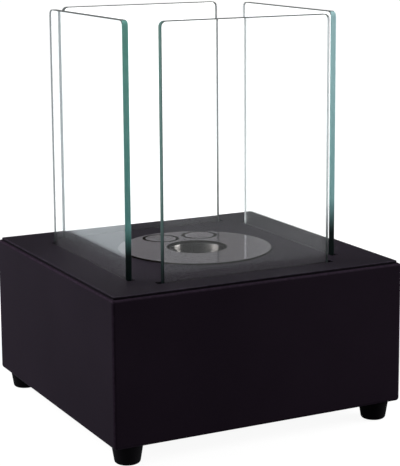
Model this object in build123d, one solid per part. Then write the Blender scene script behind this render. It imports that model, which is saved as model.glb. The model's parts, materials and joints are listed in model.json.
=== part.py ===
from build123d import *
import os

# Bioethanol table fireplace: a square black steel base on four rubber feet, four glass panes that stand
# upright in slots round the flame, and a round burner that hangs in the middle of the top plate.
# Millimetres. +Z is up, +X runs to the right along the front and +Y to the back.
# The origin lies on the table, under the middle of the base.

# Base: one sheet-steel tray with a rim folded inwards round its open top
base_width = 200.0
base_depth = 192.0
base_height = 90.5
wall = 1.5
upright_inside_bend = 0.3
floor_inside_bend = 0.7
rim_edge_radius = 1.6
rim_corner_radius = 1.5
rim_post_clearance = 0.5

# Top plate, which lies on the rim and leaves a narrow ledge all round
plate_thickness = 1.5
plate_inset = 2.0
plate_corner_radius = 1.5
plate_edge_round = 0.3

# Glass panes, with their lower edges in the plate
# Each stands this far in from the base's edge, to the middle of the glass
glass = 4.0
side_pane_inset = 28.2
front_pane_inset = 21.8
pane_corner_gap = 12.2
pane_height = 171.0
pane_depth_in_base = 15.0
pane_top_corner_radius = 3.5
pane_foot_corner_radius = 1.0
pane_edge_bevel = 0.4

# Slots, folded channels and liners that hold the glass
slot_end_gap = 4.0
slot_corner_radius = 0.5
liner = 0.5
liner_end_gap = 2.0
liner_drop = 0.1
glass_clearance = 0.08
channel_sheet = 1.0
channel_flange = 6.0
channel_overlap = 0.5

# Burner: a disc with a filling neck, an outer can, a fuel cup, fibre and a perforated screen
can_radius = 39.0
can_wall = 0.8
can_depth = 58.0
can_corner = 4.0
can_clearance = 4.5
disc_overlap = 5.7
disc_thickness = 1.0
disc_edge_round = 0.4
neck_radius = 18.0
neck_depth = 9.0
neck_bend = 2.0
cup_gap = 2.7
cup_wall = 0.6
cup_floor_gap = 7.2
cup_corner = 3.0
fibre_height = 28.0
fibre_clearance = 0.3
screen_thickness = 0.6
screen_clearance = 0.2
screen_hole_radius = 1.75
screen_pitch = 6.0
screen_margin = 4.0
# The loose burner sits a little to the back and right of the middle of its hole
burner_shift_x = 3.7
burner_shift_y = 1.6

# Feet and corner posts, on four shared axes
foot_height = 12.0
foot_top_radius = 9.7
foot_sole_radius = 7.7
foot_edge_radius = 1.8
foot_side_inset = 13.0
foot_front_inset = 11.0
foot_recess_radius = 4.2
foot_recess_depth = 7.0
washer_clearance = 0.2
post_radius = 4.5
tapped_depth = 10.0

# M4 hardware
thread_radius = 2.0
thread_clearance = 0.05
screw_hole_clearance = 0.2
thread_tip_gap = 1.0
screw_head_radius = 3.5
screw_head_height = 2.4
screw_head_round = 0.8
screw_cross_width = 0.9
screw_cross_length = 4.2
screw_cross_depth = 1.2
washer_thickness = 0.8

# Levels, from the table up
floor_underside = foot_height
floor_top = floor_underside + wall
base_top = floor_underside + base_height
plate_underside = base_top
plate_top = plate_underside + plate_thickness
pane_foot = plate_top - pane_depth_in_base
liner_underside = pane_foot - liner
channel_underside = liner_underside - channel_sheet

# Sizes that follow
rim_width = min(foot_side_inset, foot_front_inset) - post_radius - rim_post_clearance
side_pane_offset = base_width / 2 - side_pane_inset
front_pane_offset = base_depth / 2 - front_pane_inset
pane_width = 2 * (min(side_pane_offset, front_pane_offset) - glass / 2 - pane_corner_gap)
burner_hole_radius = can_radius + can_clearance
disc_radius = burner_hole_radius + disc_overlap
cup_radius = can_radius - can_wall - cup_gap
cup_depth = can_depth - can_wall - cup_floor_gap
slot_length = pane_width + 2 * slot_end_gap
channel_length = slot_length + 2 * channel_overlap
liner_length = pane_width + 2 * liner_end_gap
liner_inner_width = glass + 2 * glass_clearance
liner_width = liner_inner_width + 2 * liner
slot_width = liner_width
channel_width = liner_width + 2 * channel_sheet
screen_radius = cup_radius - cup_wall - screen_clearance
screw_hole_radius = thread_radius + screw_hole_clearance
thread_length = tapped_depth - thread_tip_gap
washer_radius = foot_recess_radius - washer_clearance
washer_underside = foot_recess_depth - washer_thickness

# Each side's turn about +Z, and how far its pane stands from the middle
SIDES = {
    "front": (0, front_pane_offset),
    "right": (90, side_pane_offset),
    "back": (180, front_pane_offset),
    "left": (270, side_pane_offset),
}
CORNERS = {
    "front_left": (-1, -1),
    "front_right": (1, -1),
    "back_left": (-1, 1),
    "back_right": (1, 1),
}
ON_BASE = (Align.CENTER, Align.CENTER, Align.MIN)


def at_side(shape, side):
    """A shape drawn for the middle of the front, moved to one of the four sides."""
    turn, offset = SIDES[side]
    return Rot(0, 0, turn) * Pos(0, -offset, 0) * shape


def corner_place(corner, height):
    """A point at this height on the axis that a foot and a post share."""
    x_sign, y_sign = CORNERS[corner]
    x = x_sign * (base_width / 2 - foot_side_inset)
    y = y_sign * (base_depth / 2 - foot_front_inset)
    return Pos(x, y, height)


def at_corners(shape, height):
    """One solid of this shape at each corner, as one group."""
    return Part() + [corner_place(corner, height) * shape for corner in CORNERS]


def slab(width, depth, corner_radius, low, high):
    """An upright prism with rounded corners, between two heights."""
    outline = Pos(0, 0, low) * RectangleRounded(width, depth, corner_radius)
    return extrude(outline, high - low)


def bar(length, width, low, high):
    """A plain bar along X, between two heights."""
    return Pos(0, 0, low) * Box(length, width, high - low, align=ON_BASE)


def rod(radius, low, high):
    """A round bar along Z, between two heights."""
    return Pos(0, 0, low) * Cylinder(radius, high - low, align=ON_BASE)


def end_edges(shape, which):
    """The edges at one end of a shape along Z: 0 for the lowest, -1 for the highest."""
    return shape.edges().group_by(Axis.Z)[which]


def housing():
    """The tray: floor, four walls and the rim, with a hole in the floor over each foot."""
    outside = slab(base_width, base_depth, upright_inside_bend + wall, floor_underside, base_top)
    outside = fillet(end_edges(outside, 0), floor_inside_bend + wall)
    outside = fillet(end_edges(outside, -1), rim_edge_radius)
    hollow = slab(
        base_width - 2 * wall,
        base_depth - 2 * wall,
        upright_inside_bend,
        floor_top,
        base_top - wall,
    )
    hollow = fillet(end_edges(hollow, 0), floor_inside_bend)
    mouth = slab(
        base_width - 2 * rim_width,
        base_depth - 2 * rim_width,
        rim_corner_radius,
        base_top - wall - 1,
        base_top + 1,
    )
    screw_holes = at_corners(rod(screw_hole_radius, 0, wall + 2), floor_underside - 1)
    return outside - hollow - mouth - screw_holes


def top_plate():
    """The flat plate with its four slots and the burner's hole."""
    plate = slab(
        base_width - 2 * plate_inset,
        base_depth - 2 * plate_inset,
        plate_corner_radius,
        plate_underside,
        plate_top,
    )
    plate = fillet(end_edges(plate, -1), plate_edge_round)
    slot = slab(slot_length, slot_width, slot_corner_radius, plate_underside - 1, plate_top + 1)
    for side in SIDES:
        plate -= at_side(slot, side)
    return plate - rod(burner_hole_radius, plate_underside - 1, plate_top + 1)


def pane():
    """A glass pane: rounded corners, and a fine bevel ground along every edge of both faces."""
    sheet = bar(pane_width, glass, pane_foot, pane_foot + pane_height)
    sheet = fillet(end_edges(sheet, -1).filter_by(Axis.Y), pane_top_corner_radius)
    sheet = fillet(end_edges(sheet, 0).filter_by(Axis.Y), pane_foot_corner_radius)
    return chamfer(sheet.faces().filter_by(Axis.Y).edges(), pane_edge_bevel)


def channel():
    """The folded channel under a slot: a U that takes the liner, with two flanges against the plate."""
    body = bar(channel_length, channel_width, channel_underside, plate_underside)
    flange_span = channel_width + 2 * channel_flange
    flanges = bar(channel_length, flange_span, plate_underside - channel_sheet, plate_underside)
    trough = bar(channel_length + 2, liner_width, liner_underside, plate_underside + 1)
    return body + flanges - trough


def channel_liner():
    """The U-shaped liner, which the pane stands on and which fills the slot on both sides of the glass."""
    body = bar(liner_length, liner_width, liner_underside, plate_top - liner_drop)
    return body - bar(liner_length + 2, liner_inner_width, pane_foot, plate_top)


def corner_post():
    """A round post between the floor and the plate, tapped at both ends."""
    tapped_radius = thread_radius + thread_clearance
    post = rod(post_radius, floor_top, plate_underside)
    post -= rod(tapped_radius, floor_top - 1, floor_top + tapped_depth)
    return post - rod(tapped_radius, plate_underside - tapped_depth, plate_underside + 1)


def foot():
    """A tapered foot with a rounded sole edge and a recess that hides the screw."""
    body = Cone(foot_sole_radius, foot_top_radius, foot_height, align=ON_BASE)
    body = fillet(end_edges(body, 0), foot_edge_radius)
    return body - rod(foot_recess_radius, -1, foot_recess_depth) - rod(screw_hole_radius, 0, foot_height + 1)


def foot_washer():
    """The flat washer at the top of a foot's recess."""
    ring = rod(washer_radius, washer_underside, foot_recess_depth)
    return ring - rod(screw_hole_radius, washer_underside - 1, foot_recess_depth + 1)


def foot_screw():
    """The pan-head screw that goes up through a foot and the floor into a post."""
    head_underside = washer_underside - screw_head_height
    head = rod(screw_head_radius, head_underside, washer_underside)
    head = fillet(end_edges(head, 0), screw_head_round)
    cross_top = head_underside + screw_cross_depth
    head -= bar(screw_cross_length, screw_cross_width, head_underside - 1, cross_top)
    head -= bar(screw_cross_width, screw_cross_length, head_underside - 1, cross_top)
    return head + rod(thread_radius, washer_underside, floor_top + thread_length)


def plate_stud():
    """The stud welded under the plate, which a post is turned onto."""
    return rod(thread_radius, plate_underside - thread_length, plate_underside)


def on_burner(shape):
    """A shape drawn with its axis on Z and the disc's underside at zero, moved to the burner's place."""
    return Pos(burner_shift_x, burner_shift_y, plate_top) * shape


def turned(*outline):
    """A solid turned about Z from a closed outline, given as radius and height."""
    return revolve(Plane.XZ * make_face(Curve() + list(outline)), Axis.Z)


def burner_lid():
    """The disc, with its filling neck drawn down through a rounded bend."""
    bend_z = disc_thickness - neck_bend
    bend_r = neck_radius + neck_bend
    neck_outside = neck_radius + disc_thickness
    inner_bend = neck_bend - disc_thickness
    round_r = disc_radius - disc_edge_round
    round_z = disc_thickness - disc_edge_round
    profile = turned(
        Line((neck_radius, -neck_depth), (neck_radius, bend_z)),
        RadiusArc((neck_radius, bend_z), (bend_r, disc_thickness), neck_bend),
        Line((bend_r, disc_thickness), (round_r, disc_thickness)),
        RadiusArc((round_r, disc_thickness), (disc_radius, round_z), disc_edge_round),
        Line((disc_radius, round_z), (disc_radius, 0)),
        Line((disc_radius, 0), (bend_r, 0)),
        RadiusArc((bend_r, 0), (neck_outside, bend_z), -inner_bend),
        Line((neck_outside, bend_z), (neck_outside, -neck_depth)),
        Line((neck_outside, -neck_depth), (neck_radius, -neck_depth)),
    )
    return on_burner(profile)


def drawn_cup(radius, thickness, depth, corner):
    """A deep-drawn round cup whose mouth meets the disc's underside."""
    outside = fillet(end_edges(rod(radius, -depth, 0), 0), corner)
    inside = rod(radius - thickness, thickness - depth, 1)
    return outside - fillet(end_edges(inside, 0), corner - thickness)


def burner_can():
    """The outer can, which catches what the fuel cup spills."""
    return on_burner(drawn_cup(can_radius, can_wall, can_depth, can_corner))


def fuel_cup():
    """The cup that holds the fibre and the fuel."""
    return on_burner(drawn_cup(cup_radius, cup_wall, cup_depth, cup_corner))


def ceramic_fibre():
    """The fibre filling that soaks up the fuel."""
    low = cup_wall - cup_depth
    block = rod(cup_radius - cup_wall - fibre_clearance, low, low + fibre_height)
    return on_burner(fillet(end_edges(block, 0), cup_corner))


def fibre_screen():
    """The perforated disc that holds the fibre down."""
    low = cup_wall - cup_depth + fibre_height
    disc = rod(screen_radius, low, low + screen_thickness)
    hole = rod(screen_hole_radius, low - 1, low + screen_thickness + 1)
    holes = [hole]
    rings = int((screen_radius - screen_margin) // screen_pitch)
    for ring in range(1, rings + 1):
        holes += [place * hole for place in PolarLocations(ring * screen_pitch, 6 * ring)]
    return on_burner(disc - holes)


def fireplace():
    """Every piece by its node name."""
    nodes = {
        "housing": housing(),
        "top_plate": top_plate(),
        "plate_studs": at_corners(plate_stud(), 0),
        "foot_screws": at_corners(foot_screw(), 0),
        "foot_washers": at_corners(foot_washer(), 0),
        "burner_lid": burner_lid(),
        "burner_can": burner_can(),
        "fuel_cup": fuel_cup(),
        "ceramic_fibre": ceramic_fibre(),
        "fibre_screen": fibre_screen(),
    }
    for side in SIDES:
        nodes[f"pane_{side}"] = at_side(pane(), side)
        nodes[f"channel_{side}"] = at_side(channel(), side)
        nodes[f"liner_{side}"] = at_side(channel_liner(), side)
    for corner in CORNERS:
        nodes[f"foot_{corner}"] = corner_place(corner, 0) * foot()
        nodes[f"post_{corner}"] = corner_place(corner, 0) * corner_post()
    return nodes


def main():
    os.makedirs("parts", exist_ok=True)
    for name, piece in fireplace().items():
        piece.label = name
        export_step(piece, f"parts/{name}.step")


if __name__ == "__main__":
    main()
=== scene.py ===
import json
import math

import bmesh
import bpy
import numpy as np
from mathutils import Matrix, Vector


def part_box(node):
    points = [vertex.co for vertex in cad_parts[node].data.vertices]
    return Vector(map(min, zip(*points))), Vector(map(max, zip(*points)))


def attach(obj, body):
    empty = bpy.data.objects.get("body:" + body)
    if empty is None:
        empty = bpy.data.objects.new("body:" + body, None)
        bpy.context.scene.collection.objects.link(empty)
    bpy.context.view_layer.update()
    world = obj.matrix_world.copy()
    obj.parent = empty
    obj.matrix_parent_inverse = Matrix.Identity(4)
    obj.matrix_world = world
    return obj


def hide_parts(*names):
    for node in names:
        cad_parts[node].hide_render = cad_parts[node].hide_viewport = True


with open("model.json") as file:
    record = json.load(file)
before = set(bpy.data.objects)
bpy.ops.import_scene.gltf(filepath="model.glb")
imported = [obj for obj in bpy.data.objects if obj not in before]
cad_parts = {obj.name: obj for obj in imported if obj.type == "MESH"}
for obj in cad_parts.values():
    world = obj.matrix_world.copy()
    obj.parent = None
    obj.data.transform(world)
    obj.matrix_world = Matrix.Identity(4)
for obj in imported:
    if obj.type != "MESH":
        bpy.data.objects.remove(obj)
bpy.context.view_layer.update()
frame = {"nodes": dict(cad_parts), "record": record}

# A bioethanol table fireplace: the finishes of its pieces, its fibre filling, and the studio round it
MM = 0.001

# The camera of the picture, as fitted to the corners of the base and the edges of the glass. Its lengths
# are in metres, but its sensor is in millimetres, and its focal length and middle row are in pixels
IMAGE_HEIGHT = 466
VIEW_AZIMUTH = math.radians(-27.109)
VIEW_ELEVATION = math.radians(10.289)
VIEW_ROLL = math.radians(-0.388)
VIEW_TARGET = Vector((0, 0, 103.5 * MM))
VIEW_DISTANCE = 1015.8 * MM
VIEW_RIGHT = 5.523 * MM
VIEW_UP = 41.315 * MM
FOCAL_PIXELS = 1546.0
PRINCIPAL_ROW = 186.4
SENSOR = 36.0
NEAREST_SEEN = 0.01
FARTHEST_SEEN = 100

# Places taken from the construction
BASE_LOW, BASE_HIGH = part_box("housing")
PLATE_LOW, PLATE_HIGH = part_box("top_plate")
LID_LOW, LID_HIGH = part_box("burner_lid")
FIBRE_LOW, FIBRE_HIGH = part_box("ceramic_fibre")
BURNER_AXIS = Vector(((LID_LOW.x + LID_HIGH.x) / 2, (LID_LOW.y + LID_HIGH.y) / 2, LID_HIGH.z))
DISC_RADIUS = (LID_HIGH.x - LID_LOW.x) / 2
NECK_RADIUS = 18 * MM

# Surroundings, where a strength of 1 shows as white. The soft sky lights dull surfaces, and a reflection
# shows the gloss levels, the floor's from a place on the left to one on the right. What is seen through
# glass is brighter by what the glass takes away. A count of bounces over ANY_BOUNCE is at least one
SOFT_SKY = 0.192
SEEN_THROUGH_GLASS = 1.42
ANY_BOUNCE = 0.5
GLOSS_SKY = 0.256
GLOSS_FLOOR = (0.84, 0.12)
GLOSS_FLOOR_ENDS = (-0.3, 0.1)
GLOSS_FLOOR_COLOUR = (0.90, 1.0, 1.06)
FLOOR_SIZE = 12.0
FLOOR_COLOUR = (0.15, 0.15, 0.15)
FLOOR_GLOW = 0.93
FLOOR_GLOW_ENDS = (0.22, 0.5)

# Lamps: the place, the side of the square, and the power
LAMP_TARGET = Vector((0, 0, 0.11))
LAMPS = {
    "key": ((-0.93, 0.36, 0.62), 0.7, 11.2),
    "top": ((0.1, 0.25, 1.35), 0.8, 4.0),
    "fill": ((1.18, -0.48, 0.5), 0.7, 17.6),
}

# Powder coat: the lumps to the metre of its clouds, grain and peel, how wide the lighter band along an edge
# is, how much lighter its specks and that edge band are, the band being wear and a painted highlight, and
# where the plate's edge is darkened as painted seam shade
COAT_CLOUDS = 11
COAT_GRAIN = 1500
COAT_PEEL = 420
# The lighter edge band is partly wear and partly a painted highlight on the edges.
WORN_HIGHLIGHT_ENDS = (0.4 * MM, 1.6 * MM)
SPECK_LIGHTER = 1.7
WORN_HIGHLIGHT_LIGHTER = 2.7
COAT_DARK = (0.0115, 0.0071, 0.0126)
COAT_LIGHT = (0.0155, 0.0099, 0.0168)
PLATE_DARK = (0.0108, 0.0080, 0.0124)
PLATE_LIGHT = (0.0145, 0.0111, 0.0166)
# Painted shade of the seam gap: the plate's edge below SEAM_TOP is darkened towards black.
NO_SEAM_SHADE = 0.0
SEAM_TOP = PLATE_HIGH.z - 0.3 * MM
SEAM_SHADE_SHARE = 0.75
SEAM_SHADE_FADE = 0.2 * MM
SEAM_SHADE = (0.0, 0.0, 0.0)

# Clear glass: the haze of a wiping cloth, the thin sheen on it, its shadow, and the green of its body
HAZE_TURN = 0.5
HAZE_SCALE = (60, 60, 9)
HAZE_ROUGHNESS = 0.012
GLASS_INDEX = 1.52
SHEEN_WEIGHT = 0.8
SHEEN_ROUGHNESS = 0.35
GLASS_SHADOW = (0.90, 0.92, 0.91)
GLASS_BODY = (0.05, 0.85, 0.72)
GLASS_DENSITY = 2.5

# Ground edges, whose tones are painted light: the heights over the plate between which the lower painted
# tone gives way to the upper, the grind, and the painted shade of the foot. Then each end's own name, its
# upper and lower painted tones, and the heights, in millimetres, between which its foot shade clears. The
# near end of a front or back pane is its left, of a side pane its front
EDGE_RISE = (40 * MM, 150 * MM)
EDGE_GRIND = (2600, 2600, 160)
# The dark foot tone is painted shade of the dark base below.
PAINTED_FOOT_SHADE = (0.002, 0.006, 0.006)
EDGE_CLEARING = 1.4
# Each end's tones are painted light: lit and shaded copies of one ground edge, set end by end.
NEAR_ENDS = {
    "pane_front": ("glass_edge_left", (0.060, 0.160, 0.139), (0.040, 0.117, 0.106), 2, 55),
    "pane_back": ("painted_light_edge_back_near", (0.058, 0.068, 0.071), (0.040, 0.046, 0.048), 2, 40),
    "pane_left": ("painted_light_edge_left_near", (0.143, 0.44, 0.375), (0.090, 0.30, 0.285), 14, 33),
    "pane_right": ("painted_light_edge_right_near", (0.41, 0.69, 0.71), (0.19, 0.41, 0.42), 14, 37),
}
FAR_ENDS = {
    "pane_front": ("glass_edge_side", (0.54, 0.548, 0.575), (0.45, 0.456, 0.48), 10, 38),
    "pane_back": ("painted_light_edge_back_far", (0.20, 0.205, 0.215), (0.16, 0.163, 0.172), 12, 42),
    "pane_left": ("painted_light_edge_left_far", (0.105, 0.108, 0.116), (0.075, 0.078, 0.084), 3, 26),
    "pane_right": ("painted_light_edge_right_far", (0.44, 0.44, 0.46), (0.62, 0.62, 0.64), -2, 2),
}
TOP_EDGE = ("glass_edge_top", (0.028, 0.038, 0.036), (0.028, 0.038, 0.036), 0, 6)

# Which axis goes through each pane's sheet, and the parts of a pane. A face belongs to a part by how much
# of its normal goes through the sheet, along it, or up
PANE_ACROSS = {"pane_front": 1, "pane_back": 1, "pane_left": 0, "pane_right": 0}
CLEAR_FACE, NEAR_END, FAR_END, TOP = range(4)
CLEAR_FACE_NORMAL = 0.98
EDGE_NORMAL = 0.3
CORNER_NORMAL = 0.35

# Burner's disc: how far its grain is turned from the X axis and how it is stretched, and its tones, the neck
# wall's and the cut edge's darkened as painted shade
GRAIN_TURN = math.radians(27.109)
FINE_GRAIN = (40, 5200, 60)
HAIR_GRAIN = (25, 1900, 60)
BROAD_GRAIN = (12, 70, 60)
SATIN_DARK = (0.292, 0.279, 0.304)
SATIN_LIGHT = (0.395, 0.381, 0.410)
SATIN_BRIGHT = (0.46, 0.447, 0.475)
# The neck wall's steel tones are darkened as painted shade of its hollow.
HOLLOW_SHADE_DARK = (0.050, 0.046, 0.044)
HOLLOW_SHADE_LIGHT = (0.064, 0.060, 0.057)
# Dark tones for the etched rings and the bend, and for the cut edge as painted shade.
MARKS_AND_SHADE_DARK = (0.004, 0.0035, 0.003)
MARKS_AND_SHADE_LIGHT = (0.012, 0.010, 0.009)
STEEL_GLANCE = (0.82, 0.785, 0.81)

# Burner's rings, with their places in millimetres from its axis, and how far out from the neck's radius
# the wall and the bend end, and from the disc's radius the cut, darkened as painted shade, begins. Then the
# grooves of the neck's wall
RING_PLACES = ((-9.9, 33.7), (17.8, 31.7))
RING_RADIUS = 11.0 * MM
RING_HALF_WIDTH = 0.95 * MM
RING_FADE = 0.5 * MM
WALL_ENDS = (0.02 * MM, 0.08 * MM)
BEND_ENDS = (1.9 * MM, 2.3 * MM)
SHADED_CUT_ENDS = (-0.55 * MM, -0.35 * MM)
GROOVE_SCALE = (60, 60, 2600)
GROOVE_TILT = (0.12, 0.50)
WALL_ROUGHER = 0.08

# Drawn steel: its turning lines to the metre outwards and upwards, its stains, and its tones
TURNED_OUT = 900
TURNED_UP = 700
STAINS = 45
CUP_DARK = (0.30, 0.295, 0.29)
CUP_LIGHT = (0.46, 0.455, 0.45)
SCREEN_DARK = (0.22, 0.215, 0.21)
SCREEN_LIGHT = (0.36, 0.355, 0.35)

# Zinc, rubber and fibre wool: the lumps to the metre of each, and the tones
ZINC_MOTTLE = 240
ZINC_PITS = 900
ZINC_BLUE = (0.40, 0.43, 0.47)
ZINC_PALE = (0.60, 0.61, 0.61)
RUBBER_DUST = 120
RUBBER_SKIN = 1500
SILICONE_DARK = (0.018, 0.015, 0.019)
SILICONE_LIGHT = (0.025, 0.021, 0.026)
SILICONE_GLOSS = 0.04
FOOT_DARK = (0.0016, 0.0010, 0.0017)
FOOT_LIGHT = (0.0034, 0.0024, 0.0036)
FOOT_GLOSS = 0.05
HAIRS_ALONG = (2200, 500, 900)
HAIRS_ACROSS = (500, 2200, 900)
HAIRS_TURN = 1.1
WOOL_SHADED = (0.62, 0.60, 0.55)
WOOL_WHITE = (0.86, 0.85, 0.81)

# The fibre pad: its grid, the power of its outline, how deep it is packed down, the share of half its
# height at which its side gives way to its flat top, and how near points have to be to become one
PAD_ROWS = 120
PAD_COLUMNS = 180
PAD_POWER = 9
PAD_PACKING = 0.35 * MM
PAD_SHOULDER = 0.9
MERGED_WITHIN = 1e-7

# Which of a Mix node's sockets are its share and its two colours, and which is its result
MIX_INPUTS = (0, 6, 7)
MIX_RESULT = 2


# ---------------------------------------------------------------- finishes


class Finish:
    """A node material, built up one step at a time from the piece's own coordinates."""

    def __init__(self, name, owner=None):
        self.material = owner or bpy.data.materials.new(name)
        self.material.use_nodes = True
        self.tree = self.material.node_tree
        self.tree.nodes.clear()

    def node(self, kind, settings=None, **inputs):
        """A node of this kind; a setting is one of its properties, an input a plain value or a socket."""
        made = self.tree.nodes.new(kind)
        for name, value in (settings or {}).items():
            setattr(made, name, value)
        for name, value in inputs.items():
            self.feed(made.inputs[name.replace("_", " ")], value)
        return made

    def feed(self, socket, value):
        """Sets a socket to a plain value, or links another socket to it."""
        if isinstance(value, bpy.types.NodeSocket):
            self.tree.links.new(value, socket)
        elif socket.type == "RGBA" and len(value) == 3:
            socket.default_value = (*value, 1.0)
        else:
            socket.default_value = value

    def maths(self, kind, first, second=0.0):
        """Arithmetic on two values."""
        made = self.node("ShaderNodeMath", {"operation": kind})
        self.feed(made.inputs[0], first)
        self.feed(made.inputs[1], second)
        return made.outputs[0]

    def vectors(self, kind, first, second=(0, 0, 0), out=0):
        """Arithmetic on two vectors."""
        made = self.node("ShaderNodeVectorMath", {"operation": kind})
        self.feed(made.inputs[0], first)
        self.feed(made.inputs[1], second)
        return made.outputs[out]

    def place(self, centre=(0, 0, 0), turn=0.0, scale=(1, 1, 1)):
        """The piece's coordinates about a centre, turned about Z and then stretched."""
        here = self.node("ShaderNodeTexCoord").outputs["Object"]
        centred = self.vectors("SUBTRACT", here, centre)
        turned = self.node("ShaderNodeVectorRotate", {"rotation_type": "Z_AXIS"}, Vector=centred, Angle=turn)
        return self.vectors("MULTIPLY", turned.outputs[0], scale)

    def axis(self, vector, which):
        """One of a vector's three numbers."""
        return self.node("ShaderNodeSeparateXYZ", Vector=vector).outputs[which]

    def length(self, vector):
        """How long a vector is."""
        return self.vectors("LENGTH", vector, out="Value")

    def from_axis(self, centre):
        """How far out a point lies from an upright axis through a centre."""
        return self.length(self.place(centre, scale=(1, 1, 0)))

    def noise(self, per_metre, detail=2.0, roughness=0.5, at=None):
        """Noise from 0 to 1 with this many lumps to the metre."""
        made = self.node("ShaderNodeTexNoise", Scale=per_metre, Detail=detail, Roughness=roughness)
        self.feed(made.inputs["Vector"], at or self.place())
        return made.outputs["Fac"]

    def spread(self, value, low, high, bottom=0.3, top=0.7):
        """A value between bottom and top, where most noise lies, carried over to the range low to high."""
        made = self.node("ShaderNodeMapRange", {"clamp": True})
        for name, number in (("From Min", bottom), ("From Max", top), ("To Min", low), ("To Max", high)):
            self.feed(made.inputs[name], number)
        self.feed(made.inputs["Value"], value)
        return made.outputs["Result"]

    def tint(self, share, first, second):
        """A colour between two colours."""
        made = self.node("ShaderNodeMix", {"data_type": "RGBA"})
        for socket, value in zip(MIX_INPUTS, (share, first, second)):
            self.feed(made.inputs[socket], value)
        return made.outputs[MIX_RESULT]

    def line(self, distance, at, half_width, fade):
        """1 where a distance is within half a line's width of a value, fading to 0 beside it."""
        off = self.maths("ABSOLUTE", self.maths("SUBTRACT", distance, at))
        return self.spread(off, 1.0, 0.0, half_width, half_width + fade)

    def bump(self, height, depth, strength, under=None):
        """A surface normal that follows a height from 0 to 1, which stands for a depth in metres."""
        made = self.node("ShaderNodeBump", Strength=strength, Distance=depth, Height=height)
        if under is not None:
            self.feed(made.inputs["Normal"], under)
        return made.outputs["Normal"]

    def shade(self, **inputs):
        """Sets the surface shader as what the material shows, and gives the material."""
        made = self.node("ShaderNodeBsdfPrincipled", **inputs)
        return self.show(made.outputs[0])

    def show(self, surface, volume=None):
        """Sets what the material shows, and gives the material."""
        output = self.node("ShaderNodeOutputMaterial", Surface=surface)
        if volume is not None:
            self.feed(output.inputs["Volume"], volume)
        return self.material


def lighter(tone, times):
    """A tone made this many times as light."""
    return [times * c for c in tone]


def powder_coat(name, dark, light, low, high, seam_shaded_below):
    """Black powder coat: slow clouds of tone, fine grain, orange peel, and edges painted a little lighter,
    as wear and a painted highlight.

    low and high are the corners of the sheet-metal piece. A point's lighter edge tone, wear and painted
    highlight, is how near it is to two of the piece's outer planes at once, broken up by noise. Below a
    given height the coat is darkened as painted shade of the seam gap.
    """
    finish = Finish(name)
    clouds = finish.noise(COAT_CLOUDS, detail=4)
    grain = finish.noise(COAT_GRAIN)
    reach = finish.vectors("ABSOLUTE", finish.place(centre=(low + high) / 2))
    near = finish.vectors("SUBTRACT", (high - low) / 2, reach)
    x, y, z = (finish.axis(near, which) for which in range(3))
    nearest = finish.maths("MINIMUM", finish.maths("MINIMUM", x, y), z)
    farthest = finish.maths("MAXIMUM", finish.maths("MAXIMUM", x, y), z)
    whole = finish.maths("ADD", finish.maths("ADD", x, y), z)
    second = finish.maths("SUBTRACT", finish.maths("SUBTRACT", whole, nearest), farthest)
    edge = finish.spread(second, 1.0, 0.0, *WORN_HIGHLIGHT_ENDS)
    patchy = finish.spread(finish.noise(COAT_PEEL, detail=4), 0.25, 0.8, bottom=0.4, top=0.7)
    # Edges painted lighter: wear and a painted highlight.
    edge_wear_highlight = finish.maths("MULTIPLY", edge, patchy)
    slow = finish.tint(finish.spread(clouds, 0, 1), dark, light)
    specks = finish.spread(grain, 0, 0.4, bottom=0.5, top=0.75)
    speckled = finish.tint(specks, slow, lighter(light, SPECK_LIGHTER))
    wear_highlit = finish.tint(edge_wear_highlight, speckled, lighter(light, WORN_HIGHLIGHT_LIGHTER))
    height = finish.axis(finish.place(), 2)
    # Painted shade: below the given height the coat is darkened, as the seam's shade.
    seam_shaded = finish.spread(height, SEAM_SHADE_SHARE, 0.0, seam_shaded_below - SEAM_SHADE_FADE, seam_shaded_below)
    peel = finish.bump(finish.noise(COAT_PEEL, detail=1), depth=0.05 * MM, strength=0.25)
    return finish.shade(
        Base_Color=finish.tint(seam_shaded, wear_highlit, SEAM_SHADE),
        Roughness=finish.spread(grain, 0.50, 0.64),
        Specular_IOR_Level=0.02,
        Normal=finish.bump(grain, depth=0.03 * MM, strength=0.5, under=peel),
    )


def clear_glass(name):
    """Clear float glass with a faint green body and, here and there, the haze of a wiping cloth."""
    finish = Finish(name)
    wiped = finish.noise(1, detail=3, at=finish.place(turn=HAZE_TURN, scale=HAZE_SCALE))
    body = finish.node(
        "ShaderNodeBsdfPrincipled",
        Base_Color=(1, 1, 1),
        Roughness=finish.spread(wiped, 0.0, HAZE_ROUGHNESS, bottom=0.5, top=0.8),
        IOR=GLASS_INDEX,
        Transmission_Weight=1.0,
        Coat_Weight=SHEEN_WEIGHT,
        Coat_Roughness=SHEEN_ROUGHNESS,
    )
    clear = finish.node("ShaderNodeBsdfTransparent", Color=GLASS_SHADOW)
    path = finish.node("ShaderNodeLightPath")
    mixed = finish.node("ShaderNodeMixShader")
    finish.feed(mixed.inputs[0], path.outputs["Is Shadow Ray"])
    finish.feed(mixed.inputs[1], body.outputs[0])
    finish.feed(mixed.inputs[2], clear.outputs[0])
    green = finish.node("ShaderNodeVolumeAbsorption", Color=GLASS_BODY, Density=GLASS_DENSITY)
    return finish.show(mixed.outputs[0], green.outputs[0])


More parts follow.
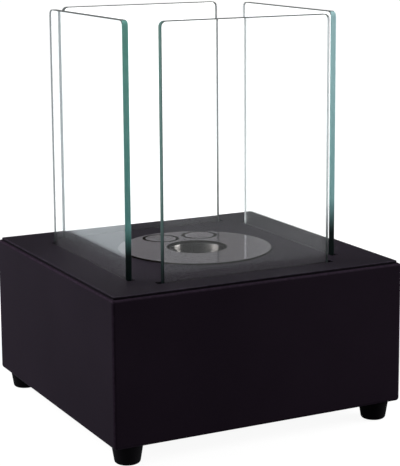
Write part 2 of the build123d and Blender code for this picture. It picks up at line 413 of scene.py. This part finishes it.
def ground_edge(name, upper, lower, dark_up_to, clear_from):
    """The ground edge of a pane, in painted light: tones painted for the green it gathers through the sheet,
    darker lower down, and painted shade at the foot near the base.

    Between two heights over the plate, in millimetres, the painted foot shade clears by the share of the way
    up to the power EDGE_CLEARING.
    """
    finish = Finish(name)
    over_plate = finish.maths("SUBTRACT", finish.axis(finish.place(), 2), PLATE_HIGH.z)
    # Painted light: the edge's tone is darker lower down, with painted shade at the foot.
    rise = finish.spread(over_plate, 0.0, 1.0, *EDGE_RISE)
    clearing = finish.spread(over_plate, 0.0, 1.0, dark_up_to * MM, clear_from * MM)
    lit = finish.maths("POWER", clearing, EDGE_CLEARING)
    grind = finish.noise(1, detail=3, at=finish.place(scale=EDGE_GRIND))
    # The edge's painted tone, the lower giving way to the upper.
    body = finish.tint(rise, lower, upper)
    half_white = [0.5 + 0.5 * c for c in upper]
    frosted = finish.tint(finish.spread(grind, 0, 0.2), body, half_white)
    return finish.shade(
        Base_Color=finish.tint(lit, PAINTED_FOOT_SHADE, frosted),
        Roughness=finish.spread(grind, 0.26, 0.42),
        Specular_IOR_Level=0.12,
        Normal=finish.bump(grind, depth=0.02 * MM, strength=0.5),
    )


def burner_steel(name):
    """The stamped disc: straight satin grain, two plain etched rings, and a drawn neck with bright lamp
    highlights, its steel tone darkened as painted shade of its hollow.

    The distance from the burner's axis tells the flat disc from its cut edge, darkened as painted shade,
    from the bend, which is made dark, and from the neck's wall. The wall's drawing grooves are finer than a
    bump can show,
    so they are a lean of the normal: noise in the height, added to the normal's upward part on the wall.
    """
    finish = Finish(name)
    along = {"centre": BURNER_AXIS, "turn": GRAIN_TURN}
    fine = finish.noise(1, roughness=0.6, at=finish.place(scale=FINE_GRAIN, **along))
    hair = finish.noise(1, roughness=0.6, at=finish.place(scale=HAIR_GRAIN, **along))
    broad = finish.noise(1, at=finish.place(scale=BROAD_GRAIN, **along))
    satin = finish.tint(finish.spread(hair, 0, 1), SATIN_DARK, SATIN_LIGHT)
    satin = finish.tint(finish.spread(broad, 0, 0.35), satin, SATIN_BRIGHT)
    # The neck wall's tone, darkened as painted shade of its hollow.
    drawn = finish.tint(finish.spread(hair, 0, 1), HOLLOW_SHADE_DARK, HOLLOW_SHADE_LIGHT)
    marks_and_shade = finish.tint(finish.spread(broad, 0, 1), MARKS_AND_SHADE_DARK, MARKS_AND_SHADE_LIGHT)
    rings = []
    for ring_x, ring_y in RING_PLACES:
        from_ring = finish.from_axis(BURNER_AXIS + Vector((ring_x, ring_y, 0)) * MM)
        rings.append(finish.line(from_ring, RING_RADIUS, RING_HALF_WIDTH, RING_FADE))
    etched = finish.maths("MAXIMUM", *rings)
    out = finish.from_axis(BURNER_AXIS)
    wall = finish.spread(out, 1.0, 0.0, *(NECK_RADIUS + end for end in WALL_ENDS))
    bend = finish.spread(out, 1.0, 0.0, *(NECK_RADIUS + end for end in BEND_ENDS))
    # Painted shade: the disc's outer margin and cut edge are made dark, for the shadow gap under its edge.
    cut = finish.spread(out, 0.0, 1.0, *(DISC_RADIUS + end for end in SHADED_CUT_ENDS))
    # The bend between the wall and the disc is made dark and dull.
    dark_bend = finish.maths("SUBTRACT", bend, wall)
    dull = finish.maths("MAXIMUM", finish.maths("MAXIMUM", etched, dark_bend), cut)
    grooves = finish.noise(1, at=finish.place(scale=GROOVE_SCALE))
    tilt = finish.maths("MULTIPLY", finish.spread(grooves, *GROOVE_TILT), wall)
    lean = finish.node("ShaderNodeCombineXYZ", Z=tilt)
    brushed = finish.bump(fine, depth=0.003 * MM, strength=0.5)
    leaning = finish.vectors("ADD", brushed, lean.outputs[0])
    rougher = finish.maths("MULTIPLY", wall, WALL_ROUGHER)
    return finish.shade(
        Base_Color=finish.tint(dull, finish.tint(wall, satin, drawn), marks_and_shade),
        Metallic=finish.maths("SUBTRACT", 1.0, dull),
        Roughness=finish.maths("ADD", finish.spread(hair, 0.06, 0.11), rougher),
        Specular_IOR_Level=0.0,
        Specular_Tint=STEEL_GLANCE,
        Normal=finish.vectors("NORMALIZE", leaning),
    )


def drawn_steel(name, dark, light):
    """Deep-drawn stainless steel with faint turning lines about the burner's axis."""
    finish = Finish(name)
    out = finish.maths("MULTIPLY", finish.from_axis(BURNER_AXIS), TURNED_OUT)
    up = finish.maths("MULTIPLY", finish.axis(finish.place(), 2), TURNED_UP)
    turned = finish.node("ShaderNodeCombineXYZ", X=out, Y=up)
    lines = finish.noise(1, detail=3, at=turned.outputs[0])
    stained = finish.spread(finish.noise(STAINS, detail=4), 0, 0.5, bottom=0.5, top=0.75)
    steel = finish.tint(finish.spread(lines, 0, 1), dark, light)
    return finish.shade(
        Base_Color=finish.tint(stained, steel, dark),
        Metallic=1.0,
        Roughness=finish.spread(lines, 0.26, 0.4),
        Normal=finish.bump(lines, depth=0.02 * MM, strength=0.3),
    )


def zinc_plate(name):
    """Bright zinc with a mottled, slightly blue passivation."""
    finish = Finish(name)
    mottle = finish.noise(ZINC_MOTTLE, detail=4)
    return finish.shade(
        Base_Color=finish.tint(finish.spread(mottle, 0, 1), ZINC_BLUE, ZINC_PALE),
        Metallic=1.0,
        Roughness=finish.spread(mottle, 0.3, 0.48),
        Normal=finish.bump(finish.noise(ZINC_PITS), depth=0.03 * MM, strength=0.4),
    )


def moulded_rubber(name, dark, light, gloss):
    """Matt moulded rubber: a fine skin, with a little dust in the tone."""
    finish = Finish(name)
    dust = finish.noise(RUBBER_DUST, detail=5, roughness=0.6)
    skin = finish.noise(RUBBER_SKIN)
    return finish.shade(
        Base_Color=finish.tint(finish.spread(dust, 0, 1), dark, light),
        Roughness=finish.spread(skin, 0.55, 0.75),
        Specular_IOR_Level=gloss,
        Normal=finish.bump(skin, depth=0.04 * MM, strength=0.5),
    )


def fibre_wool(name):
    """Needled ceramic fibre: fine hairs that cross, over soft lumps."""
    finish = Finish(name)
    hairs = finish.noise(1, detail=4, at=finish.place(scale=HAIRS_ALONG))
    crossed = finish.noise(1, detail=4, at=finish.place(turn=HAIRS_TURN, scale=HAIRS_ACROSS))
    felt = finish.maths("MAXIMUM", hairs, crossed)
    return finish.shade(
        Base_Color=finish.tint(finish.spread(felt, 0, 1, bottom=0.4, top=0.7), WOOL_SHADED, WOOL_WHITE),
        Roughness=0.95,
        Specular_IOR_Level=0.2,
        Normal=finish.bump(felt, depth=0.4 * MM, strength=0.8),
    )


# ---------------------------------------------------------------- pieces


def grid_mesh(name, points):
    """A closed mesh over a grid of points, whose rows run round an axis.

    points is an array of rows by columns by 3. Each row's last point joins its first, and the first and
    last rows are each drawn to one point.
    """
    rows, columns = points.shape[:2]
    index = np.arange(rows * columns).reshape(rows, columns)
    after = np.roll(index, -1, axis=1)
    faces = np.stack([index[:-1], after[:-1], after[1:], index[1:]], axis=-1).reshape(-1, 4)
    mesh = bpy.data.meshes.new(name)
    mesh.from_pydata(points.reshape(-1, 3).tolist(), [], faces.tolist())
    shape = bmesh.new()
    shape.from_mesh(mesh)
    bmesh.ops.remove_doubles(shape, verts=shape.verts, dist=MERGED_WITHIN)
    bmesh.ops.recalc_face_normals(shape, faces=shape.faces)
    shape.to_mesh(mesh)
    shape.free()
    mesh.polygons.foreach_set("use_smooth", np.ones(len(mesh.polygons), dtype=bool))
    made = bpy.data.objects.new(name, mesh)
    bpy.context.scene.collection.objects.link(made)
    return made


def fibre_pad():
    """The fibre filling, a soft round pad that swells against the cup and dips where it was packed down.

    It is a superellipse turned about the upright axis: the ninth powers of the shares of the radius and of
    half the height add up to one. The dip, for an angle a and a share r of the radius, is the packing's
    depth times 1 plus the waves over 1.6, times the root of r, times a fade of 4 r (1 - r) + 0.25, which
    stays within 1. The waves are sin(5 a + 9 r) sin(11 r) + 0.6 sin(11 a - 7 r). The dip is taken off the
    height of the flat top and off the reach of the side.
    """
    radius = (FIBRE_HIGH.x - FIBRE_LOW.x) / 2
    half = (FIBRE_HIGH.z - FIBRE_LOW.z) / 2
    turn, climb = np.meshgrid(
        np.linspace(0, 2 * np.pi, PAD_COLUMNS, endpoint=False),
        np.linspace(-np.pi / 2, np.pi / 2, PAD_ROWS),
    )
    cosine, sine = np.cos(climb), np.sin(climb)
    squared = (np.abs(cosine) ** PAD_POWER + np.abs(sine) ** PAD_POWER) ** (-1 / PAD_POWER)
    reach, rise = squared * cosine, squared * sine
    waves = np.sin(5 * turn + 9 * reach) * np.sin(11 * reach) + 0.6 * np.sin(11 * turn - 7 * reach)
    fade = np.clip(4 * reach * (1 - reach) + 0.25, 0, 1)
    dip = PAD_PACKING * (1 + waves / 1.6) * fade * reach ** 0.5
    out = radius * reach - dip * (np.abs(rise) < PAD_SHOULDER)
    height = half * rise - dip * (rise > PAD_SHOULDER)
    points = np.stack([out * np.cos(turn), out * np.sin(turn), height], axis=-1)
    points[0, :, :2] = 0
    points[-1, :, :2] = 0
    return grid_mesh("fibre_pad", points + np.array((FIBRE_LOW + FIBRE_HIGH) / 2))


def finish_pane(piece, finishes, across):
    """Gives a pane its finishes: its clear faces, its near end and foot, its far end, and its top edge.

    across is the axis through the sheet, and the ends lie along the other level axis. The round corners at
    the top belong to the ends, as far as they lean along the sheet.
    """
    mesh = piece.data
    mesh.materials.clear()
    for finish in finishes:
        mesh.materials.append(finish)
    normals = np.empty(3 * len(mesh.polygons))
    mesh.polygons.foreach_get("normal", normals)
    normals = normals.reshape(-1, 3)
    through = np.abs(normals[:, across])
    along = normals[:, 1 - across]
    corner = (through < EDGE_NORMAL) & (np.abs(along) > CORNER_NORMAL)
    part = np.where(along > EDGE_NORMAL, FAR_END, NEAR_END)
    part = np.where((normals[:, 2] > EDGE_NORMAL) & ~corner, TOP, part)
    part = np.where(through > CLEAR_FACE_NORMAL, CLEAR_FACE, part)
    mesh.polygons.foreach_set("material_index", part.astype(np.int32))
    mesh.update()


# ---------------------------------------------------------------- studio


def add_camera():
    """The camera, from its angles about the middle of the base's top, with the picture's own frame."""
    level = math.cos(VIEW_ELEVATION)
    sideways, forwards = math.sin(VIEW_AZIMUTH), math.cos(VIEW_AZIMUTH)
    back = Vector((sideways * level, -forwards * level, math.sin(VIEW_ELEVATION)))
    right = (-back).cross(Vector((0, 0, 1))).normalized()
    up = right.cross(-back)
    place = VIEW_TARGET + back * VIEW_DISTANCE + right * VIEW_RIGHT + up * VIEW_UP
    cosine, sine = math.cos(VIEW_ROLL), math.sin(VIEW_ROLL)
    rolled_right = right * cosine + up * sine
    rolled_up = up * cosine - right * sine
    data = bpy.data.cameras.new("camera")
    data.sensor_width = SENSOR
    data.lens = FOCAL_PIXELS / IMAGE_HEIGHT * SENSOR
    data.shift_y = (PRINCIPAL_ROW - IMAGE_HEIGHT / 2) / IMAGE_HEIGHT
    data.clip_start = NEAREST_SEEN
    data.clip_end = FARTHEST_SEEN
    camera = bpy.data.objects.new("camera", data)
    bpy.context.scene.collection.objects.link(camera)
    camera.matrix_world = Matrix(
        (
            (rolled_right.x, rolled_up.x, back.x, place.x),
            (rolled_right.y, rolled_up.y, back.y, place.y),
            (rolled_right.z, rolled_up.z, back.z, place.z),
            (0, 0, 0, 1),
        )
    )
    bpy.context.scene.camera = camera


def add_lamp(name, place, size, power):
    """A soft square lamp that faces a point just over the plate."""
    data = bpy.data.lights.new(name, "AREA")
    data.shape = "SQUARE"
    data.size = size
    data.energy = power
    lamp = bpy.data.objects.new(name, data)
    bpy.context.scene.collection.objects.link(lamp)
    lamp.location = place
    lamp.rotation_euler = (LAMP_TARGET - Vector(place)).to_track_quat("-Z", "Y").to_euler()


def seen_level(finish, gloss_level):
    """How bright the surroundings are by the ray's path.

    It is 1 for what the camera sees, a little more through glass, which takes that much away, a given level
    once the ray has been reflected, and 0 for soft light.
    """
    path = finish.node("ShaderNodeLightPath")
    mirrored = finish.maths("GREATER_THAN", path.outputs["Glossy Depth"], ANY_BOUNCE)
    through = finish.maths("MULTIPLY", path.outputs["Is Transmission Ray"], SEEN_THROUGH_GLASS)
    straight = finish.maths("MAXIMUM", path.outputs["Is Camera Ray"], through)
    direct = finish.maths("MULTIPLY", straight, finish.maths("SUBTRACT", 1.0, mirrored))
    seen = finish.maths("MAXIMUM", direct, finish.maths("MULTIPLY", mirrored, gloss_level))
    hard = finish.maths("LESS_THAN", path.outputs["Diffuse Depth"], ANY_BOUNCE)
    return finish.maths("MULTIPLY", seen, hard)


def add_world():
    """White surroundings to see, dim in gloss like a studio's walls, and a weaker soft light."""
    world = bpy.data.worlds.new("surroundings")
    bpy.context.scene.world = world
    sky = Finish("surroundings", owner=world)
    strength = sky.maths("MAXIMUM", seen_level(sky, GLOSS_SKY), SOFT_SKY)
    glow = sky.node("ShaderNodeBackground", Color=(1, 1, 1), Strength=strength)
    sky.node("ShaderNodeOutputWorld", Surface=glow.outputs[0])


def add_floor():
    """A pale floor that keeps the object's shadow and is otherwise as white as the surroundings.

    Its glow is a little weaker near the object. In a reflection it goes from bright on the left to dim on
    the right, as beside a lit wall, and is a little cool.
    """
    half = FLOOR_SIZE / 2
    corners = [(-half, -half, 0), (half, -half, 0), (half, half, 0), (-half, half, 0)]
    mesh = bpy.data.meshes.new("floor")
    mesh.from_pydata(corners, [], [(0, 1, 2, 3)])
    floor = bpy.data.objects.new("floor", mesh)
    bpy.context.scene.collection.objects.link(floor)
    pale = Finish("floor")
    here = pale.place()
    gloss = pale.spread(pale.axis(here, 0), *GLOSS_FLOOR, *GLOSS_FLOOR_ENDS)
    near = pale.spread(pale.length(here), FLOOR_GLOW, 1.0, *FLOOR_GLOW_ENDS)
    mirrored = pale.node("ShaderNodeLightPath").outputs["Glossy Depth"]
    cool = pale.tint(pale.maths("MINIMUM", mirrored, 1.0), (1, 1, 1), GLOSS_FLOOR_COLOUR)
    strength = pale.maths("MULTIPLY", seen_level(pale, gloss), near)
    glow = pale.node("ShaderNodeEmission", Color=cool, Strength=strength)
    plain = pale.node("ShaderNodeBsdfDiffuse", Color=FLOOR_COLOUR)
    both = pale.node("ShaderNodeAddShader")
    pale.feed(both.inputs[0], plain.outputs[0])
    pale.feed(both.inputs[1], glow.outputs[0])
    mesh.materials.append(pale.show(both.outputs[0]))


# ---------------------------------------------------------------- making

add_camera()
add_world()
add_floor()
for lamp_name, (lamp_place, lamp_size, lamp_power) in LAMPS.items():
    add_lamp(lamp_name, lamp_place, lamp_size, lamp_power)

finishes = {
    "housing_paint": powder_coat("housing_paint", COAT_DARK, COAT_LIGHT, BASE_LOW, BASE_HIGH, NO_SEAM_SHADE),
    "plate_paint": powder_coat("plate_paint", PLATE_DARK, PLATE_LIGHT, PLATE_LOW, PLATE_HIGH, SEAM_TOP),
    "burner_steel": burner_steel("burner_steel"),
    "cup_steel": drawn_steel("cup_steel", CUP_DARK, CUP_LIGHT),
    "screen_steel": drawn_steel("screen_steel", SCREEN_DARK, SCREEN_LIGHT),
    "zinc_steel": zinc_plate("zinc_steel"),
    "silicone": moulded_rubber("silicone", SILICONE_DARK, SILICONE_LIGHT, SILICONE_GLOSS),
    "foot_rubber": moulded_rubber("foot_rubber", FOOT_DARK, FOOT_LIGHT, FOOT_GLOSS),
    "ceramic_fibre": fibre_wool("ceramic_fibre"),
}
glass = clear_glass("glass")
near_ends = {node: ground_edge(*end) for node, end in NEAR_ENDS.items()}
far_ends = {node: ground_edge(*end) for node, end in FAR_ENDS.items()}
top_edge = ground_edge(*TOP_EDGE)

slots = {part["node"]: part["material_slot"] for part in frame["record"]["subparts"]}
for node, piece in frame["nodes"].items():
    if node in PANE_ACROSS:
        finish_pane(piece, (glass, near_ends[node], far_ends[node], top_edge), PANE_ACROSS[node])
    else:
        piece.data.materials.clear()
        piece.data.materials.append(finishes[slots[node]])

pad = fibre_pad()
pad.data.materials.append(finishes["ceramic_fibre"])
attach(pad, "burner")
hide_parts("ceramic_fibre")

bpy.context.scene.view_settings.view_transform = "Standard"
